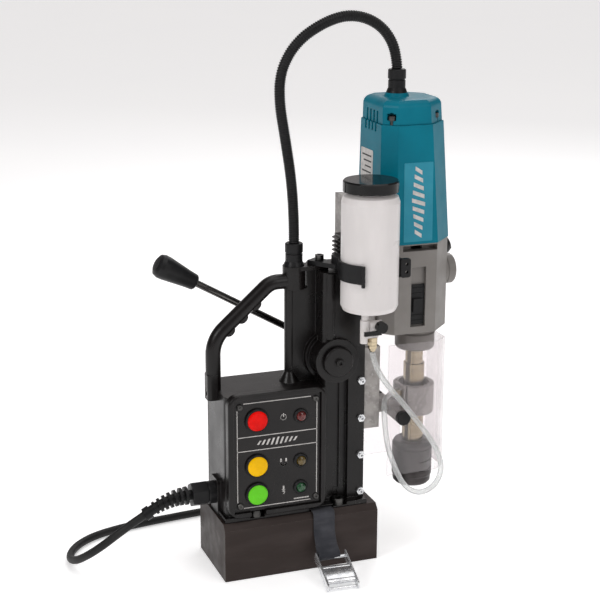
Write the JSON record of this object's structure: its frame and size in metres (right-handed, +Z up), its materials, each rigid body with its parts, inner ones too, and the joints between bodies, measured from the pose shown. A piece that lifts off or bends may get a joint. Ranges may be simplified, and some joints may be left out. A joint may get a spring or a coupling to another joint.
{
  "type": "magnetic drill press",
  "caption": "Portable magnetic drill press: magnet base with control box and column, motor unit on a dovetail slide with rack feed levers, coolant bottle and cutter guard.",
  "frame": {"origin": "centre of the magnet's bottom face", "axes": "+X from the cable end towards the drill spindle, +Y to the feed lever side, +Z up"},
  "size_m": [0.4693, 0.3895, 0.6106],
  "materials": {
    "base_steel": "satin dark brown-black",
    "black_casting": "satin black",
    "panel_black": "satin black with white lines",
    "black_plastic": "fine matt",
    "red_plastic": "gloss",
    "yellow_plastic": "gloss",
    "green_plastic": "gloss",
    "lamp_lens": "tinted lens",
    "coil_copper": "enamelled copper",
    "potting_resin": "cast resin",
    "board_green": "solder mask",
    "bright_steel": "bright",
    "dark_steel": "oiled dark steel",
    "zinc_plate": "bright zinc",
    "galvanised": "mottled grey",
    "grey_casting": "satin warm grey",
    "teal_plastic": "satin teal",
    "laminations": "stacked steel",
    "spindle_steel": "ground, straw tint",
    "collar_grey": "dark grey",
    "clear_sheet": "clear plastic sheet",
    "clear_hose": "clear flexible hose",
    "milky_plastic": "translucent white",
    "cap_black": "gloss black",
    "brass_fitting": "nickel-washed brass",
    "lever_steel": "dark polished",
    "cord_rubber": "matt black",
    "webbing": "slate grey ribbed"
  },
  "bodies": {
    "stand": {"magnet_base": "base_steel", "magnet_coil": "coil_copper", "coil_potting": "potting_resin", "base_bolts": "dark_steel", "main_housing": "black_casting", "rear_cover": "black_casting", "control_panel": "panel_black", "panel_screws": "dark_steel", "panel_bezels": "black_plastic", "indicator_lamps": "lamp_lens", "control_board": "board_green", "gib_strip": "bright_steel", "gib_screws": "zinc_plate", "shaft_bushes": "brass_fitting", "carry_handle": "black_casting", "handle_screws": "dark_steel", "conduit_gland_lower": "black_plastic", "conduit": "black_plastic", "power_gland": "black_plastic", "power_cord": "cord_rubber", "cord_coil": "cord_rubber", "power_plug": "black_plastic", "bottle": "milky_plastic", "bottle_clip": "black_plastic", "tap_body": "milky_plastic", "hose_fitting": "brass_fitting", "coolant_hose": "clear_hose", "safety_strap": "webbing", "buckle_frame": "zinc_plate"},
    "start_stop_button": {"red_button": "red_plastic"},
    "magnet_button": {"yellow_button": "yellow_plastic"},
    "drill_button": {"green_button": "green_plastic"},
    "bottle_lid": {"bottle_cap": "cap_black"},
    "tap": {"tap_lever": "cap_black"},
    "strap_cam": {"buckle_cam": "zinc_plate"},
    "capstan": {"pinion_shaft": "dark_steel", "end_disc": "black_casting", "capstan_hub": "black_casting", "lever_rods": "lever_steel", "lever_knobs": "black_plastic"},
    "carriage": {"slide": "galvanised", "rack": "dark_steel", "gear_housing": "grey_casting", "motor_housing": "teal_plastic", "motor_cap": "teal_plastic", "motor_screws": "dark_steel", "motor_stator": "laminations", "armature_bearings": "bright_steel", "arbor_support": "galvanised", "conduit_gland_upper": "black_plastic", "coolant_inlet": "brass_fitting"},
    "rotor": {"armature": "laminations"},
    "transfer_shaft": {"transfer_gear": "bright_steel"},
    "drill_spindle": {"spindle": "spindle_steel"},
    "collar": {"quick_change_collar": "collar_grey"},
    "gear_dial": {"gear_knob": "grey_casting"},
    "selector": {"speed_selector": "black_plastic"},
    "guard_sheet": {"guard": "clear_sheet"},
    "guard_screw_near": {"near_guard_knob": "black_plastic"},
    "guard_screw_far": {"far_guard_knob": "black_plastic"}
  },
  "joints": [
    {"name": "power_button_press", "type": "slide", "parent": "stand", "child": "start_stop_button", "axis": [0, 1, 0], "range_m": [0, 0.003], "stiffness_N_per_m": 400, "springref_m": -0.003},
    {"name": "magnet_button_press", "type": "slide", "parent": "stand", "child": "magnet_button", "axis": [0, 1, 0], "range_m": [0, 0.003], "stiffness_N_per_m": 400, "springref_m": -0.003},
    {"name": "drill_button_press", "type": "slide", "parent": "stand", "child": "drill_button", "axis": [0, 1, 0], "range_m": [0, 0.003], "stiffness_N_per_m": 400, "springref_m": -0.003},
    {"name": "bottle_cap_lift", "type": "slide", "parent": "stand", "child": "bottle_lid", "axis": [0, 0, 1], "range_m": [0, 0.02]},
    {"name": "tap_turn", "type": "hinge", "parent": "stand", "child": "tap", "pos_m": [0.081, -0.0662, 0.281], "axis": [0, 1, 0], "range_deg": [-90, 0]},
    {"name": "buckle_cam_turn", "type": "hinge", "parent": "stand", "child": "strap_cam", "pos_m": [0.02561, -0.08394, 0.01394], "axis": [0.9976, -0.0698, 0], "range_deg": [-80, 0], "stiffness_Nm_per_rad": 0.05, "springref_deg": 20.05},
    {"name": "carriage_slide", "type": "slide", "parent": "stand", "child": "carriage", "axis": [0, 0, 1], "range_m": [-0.06, 0.07], "deforming": ["conduit", "coolant_hose"]},
    {"name": "capstan_turn", "type": "hinge", "parent": "stand", "child": "capstan", "pos_m": [0.045, 0, 0.236], "axis": [0, 1, 0], "range_deg": [-412, 353]},
    {"name": "rotor_spin", "type": "hinge", "parent": "carriage", "child": "rotor", "pos_m": [0.136, 0, 0.42], "axis": [0, 0, 1], "continuous": true},
    {"name": "transfer_spin", "type": "hinge", "parent": "carriage", "child": "transfer_shaft", "pos_m": [0.1443, 0.0182, 0.31], "axis": [0, 0, 1], "continuous": true},
    {"name": "spindle_spin", "type": "hinge", "parent": "carriage", "child": "drill_spindle", "pos_m": [0.1526, 0, 0.2], "axis": [0, 0, 1], "continuous": true},
    {"name": "collar_lift", "type": "slide", "parent": "drill_spindle", "child": "collar", "axis": [0, 0, 1], "range_m": [0, 0.006], "stiffness_N_per_m": 1500, "springref_m": -0.01},
    {"name": "gear_knob_turn", "type": "hinge", "parent": "carriage", "child": "gear_dial", "pos_m": [0.1853, 0, 0.3205], "axis": [1, 0, 0], "range_deg": [0, 90]},
    {"name": "speed_selector_slide", "type": "slide", "parent": "carriage", "child": "selector", "axis": [0, 0, 1], "range_m": [0, 0.018]},
    {"name": "guard_slide", "type": "slide", "parent": "carriage", "child": "guard_sheet", "axis": [0, 0, 1], "range_m": [-0.03, 0.014]},
    {"name": "near_guard_knob_turn", "type": "hinge", "parent": "carriage", "child": "guard_screw_near", "pos_m": [0.123, -0.0355, 0.162], "axis": [0, -1, 0], "range_deg": [-180, 180]},
    {"name": "far_guard_knob_turn", "type": "hinge", "parent": "carriage", "child": "guard_screw_far", "pos_m": [0.123, 0.0355, 0.162], "axis": [0, 1, 0], "range_deg": [-180, 180]}
  ],
  "couplings": [
    {"joint": "capstan_turn", "follows": "carriage_slide", "rad_per_m": -102.56},
    {"joint": "transfer_spin", "follows": "rotor_spin", "ratio": -0.29032},
    {"joint": "spindle_spin", "follows": "rotor_spin", "ratio": 0.12442}
  ]
}
